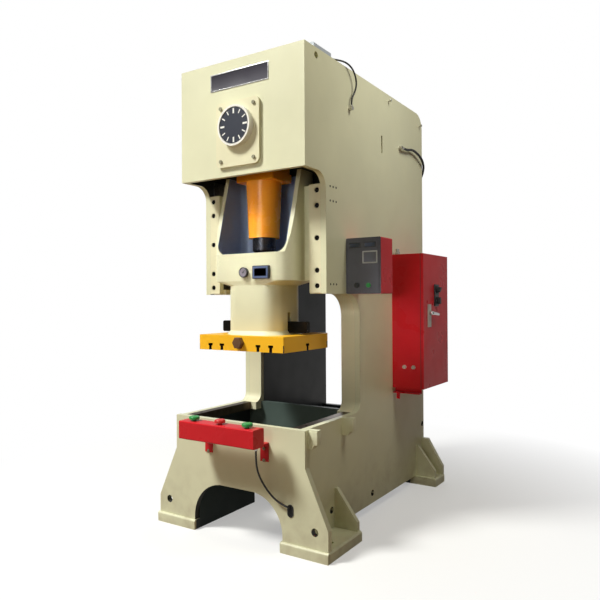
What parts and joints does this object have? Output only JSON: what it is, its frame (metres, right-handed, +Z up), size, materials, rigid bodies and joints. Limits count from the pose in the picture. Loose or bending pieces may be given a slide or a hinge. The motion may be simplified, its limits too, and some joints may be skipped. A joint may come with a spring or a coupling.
{
  "type": "mechanical stamping press",
  "caption": "C-frame mechanical power press with an open throat, crank-driven slide, gear and flywheel drive, control cabinet and two-hand console.",
  "frame": {"origin": "floor level at the centre of the four floor anchor holes, on the machine's centre plane", "axes": "+X to the machine's right as seen from the operator, +Y from the operator to the rear, +Z up"},
  "size_m": [1.5043, 2.18, 3.158],
  "materials": {
    "frame_paint": "semi-gloss cream enamel",
    "rod_paint": "semi-gloss orange enamel",
    "plate_paint": "semi-gloss yellow enamel",
    "cabinet_paint": "gloss red powder coat",
    "cover_paint": "semi-gloss blue-grey enamel",
    "motor_paint": "semi-gloss grey-blue enamel",
    "machined_steel": "oiled machined steel",
    "bolt_steel": "zinc plated steel",
    "black_steel": "black oxide steel",
    "cast_iron": "machined cast iron",
    "bronze": "machined bronze",
    "dial_black": "satin black enamel",
    "black_plastic": "moulded black plastic",
    "grey_plastic": "moulded grey plastic",
    "green_plastic": "moulded green plastic",
    "red_plastic": "moulded red plastic",
    "handle_chrome": "polished die-cast handle",
    "hose_rubber": "smooth black rubber"
  },
  "bodies": {
    "frame": {"left_side_plate": "frame_paint", "right_side_plate": "frame_paint", "throat_flanges": "frame_paint", "head_front_plate": "frame_paint", "head_top_plate": "frame_paint", "base_front_plate": "frame_paint", "base_rear_plate": "frame_paint", "bed_rails": "machined_steel", "foot_plates": "frame_paint", "gib_strips": "frame_paint", "gib_bolts": "black_steel", "guide_rails": "machined_steel", "inner_walls": "frame_paint", "shaft_bushes": "bronze", "rotary_union": "bolt_steel", "rear_guard": "frame_paint", "motor": "motor_paint", "v_belts": "hose_rubber", "crank_cover": "frame_paint", "dial_ring": "frame_paint", "top_cover": "cover_paint", "cabinet_shell": "cabinet_paint", "control_gear": "grey_plastic", "cabinet_hinges": "bolt_steel", "panel_box": "cabinet_paint", "console_box": "cabinet_paint", "console_straps": "cabinet_paint", "hex_bolts": "bolt_steel", "pipe_fittings": "bolt_steel", "console_cable": "hose_rubber", "side_hose": "hose_rubber", "rear_hose": "hose_rubber"},
    "crank": {"crankshaft": "machined_steel", "main_gear": "cast_iron", "dial_disc": "dial_black"},
    "rod": {"con_rod": "rod_paint", "con_rod_cap": "rod_paint", "crankpin_bush": "bronze", "ball_screw": "machined_steel"},
    "slide": {"slide_body": "frame_paint", "ball_seat": "bronze", "ball_retainer": "machined_steel", "slide_plate": "plate_paint", "shank_clamp_bolt": "black_steel", "slide_instruments": "black_plastic"},
    "knock_out": {"knock_out_bar": "black_steel"},
    "pinion": {"pinion_shaft": "machined_steel", "clutch_drum": "cast_iron"},
    "flywheel": {"flywheel": "cast_iron"},
    "pulley": {"motor_pulley": "cast_iron"},
    "door": {"cabinet_door": "cabinet_paint", "door_plates": "black_plastic"},
    "handle": {"door_handle": "handle_chrome"},
    "main_switch": {"main_switch_knob": "black_plastic"},
    "light_switch": {"light_switch_knob": "black_plastic"},
    "run_button": {"run_button": "green_plastic"},
    "selector": {"mode_selector": "black_plastic"},
    "left_palm": {"left_palm_button": "green_plastic"},
    "right_palm": {"right_palm_button": "green_plastic"},
    "stop_button": {"console_stop_button": "red_plastic"}
  },
  "joints": [
    {"name": "crank_turn", "type": "hinge", "parent": "frame", "child": "crank", "pos_m": [0, -0.662, 2.666], "axis": [0, 1, 0], "range_deg": [0, 180]},
    {"name": "rod_pivot", "type": "hinge", "parent": "crank", "child": "rod", "pos_m": [0, -0.662, 2.586], "axis": [0, 1, 0], "range_deg": [-180, 0]},
    {"name": "slide_stroke", "type": "slide", "parent": "frame", "child": "slide", "axis": [0, 0, 1], "range_m": [0, 0.16]},
    {"name": "pinion_turn", "type": "hinge", "parent": "frame", "child": "pinion", "pos_m": [0, 0, 2.24], "axis": [0, 1, 0], "range_deg": [-803.1, 0]},
    {"name": "flywheel_turn", "type": "hinge", "parent": "frame", "child": "flywheel", "pos_m": [0, 0.785, 2.24], "axis": [0, 1, 0], "continuous": true},
    {"name": "pulley_turn", "type": "hinge", "parent": "frame", "child": "pulley", "pos_m": [0, 0.77, 2.87], "axis": [0, 1, 0], "continuous": true},
    {"name": "knock_out_lift", "type": "slide", "parent": "slide", "child": "knock_out", "axis": [0, 0, 1], "range_m": [0, 0.06]},
    {"name": "cabinet_door_swing", "type": "hinge", "parent": "frame", "child": "door", "pos_m": [0.746, 0.8353, 1.373], "axis": [0, 0, 1], "range_deg": [0, 110]},
    {"name": "door_handle_turn", "type": "hinge", "parent": "door", "child": "handle", "pos_m": [0.785, 0.415, 1.434], "axis": [1, 0, 0], "range_deg": [-90, 0]},
    {"name": "main_switch_turn", "type": "hinge", "parent": "door", "child": "main_switch", "pos_m": [0.79, 0.564, 1.614], "axis": [1, 0, 0], "range_deg": [-90, 0]},
    {"name": "light_switch_turn", "type": "hinge", "parent": "door", "child": "light_switch", "pos_m": [0.79, 0.564, 1.528], "axis": [1, 0, 0], "range_deg": [-45, 45]},
    {"name": "run_button_press", "type": "slide", "parent": "frame", "child": "run_button", "axis": [0, 1, 0], "range_m": [0, 0.005], "stiffness_N_per_m": 400, "springref_m": -0.003},
    {"name": "selector_turn", "type": "hinge", "parent": "frame", "child": "selector", "pos_m": [0.597, -0.44, 1.634], "axis": [0, 1, 0], "range_deg": [-60, 60]},
    {"name": "left_palm_press", "type": "slide", "parent": "frame", "child": "left_palm", "axis": [0, 0, -1], "range_m": [0, 0.008], "stiffness_N_per_m": 800, "springref_m": -0.005},
    {"name": "right_palm_press", "type": "slide", "parent": "frame", "child": "right_palm", "axis": [0, 0, -1], "range_m": [0, 0.008], "stiffness_N_per_m": 800, "springref_m": -0.005},
    {"name": "stop_button_press", "type": "slide", "parent": "frame", "child": "stop_button", "axis": [0, 0, -1], "range_m": [0, 0.008], "stiffness_N_per_m": 800, "springref_m": -0.005}
  ],
  "couplings": [
    {"joint": "rod_pivot", "follows": "crank_turn", "ratio": -1},
    {"joint": "slide_stroke", "follows": "crank_turn", "m_per_rad": 0.05093},
    {"joint": "pinion_turn", "follows": "crank_turn", "ratio": -4.4615},
    {"joint": "pulley_turn", "follows": "flywheel_turn", "ratio": 5.7101}
  ]
}
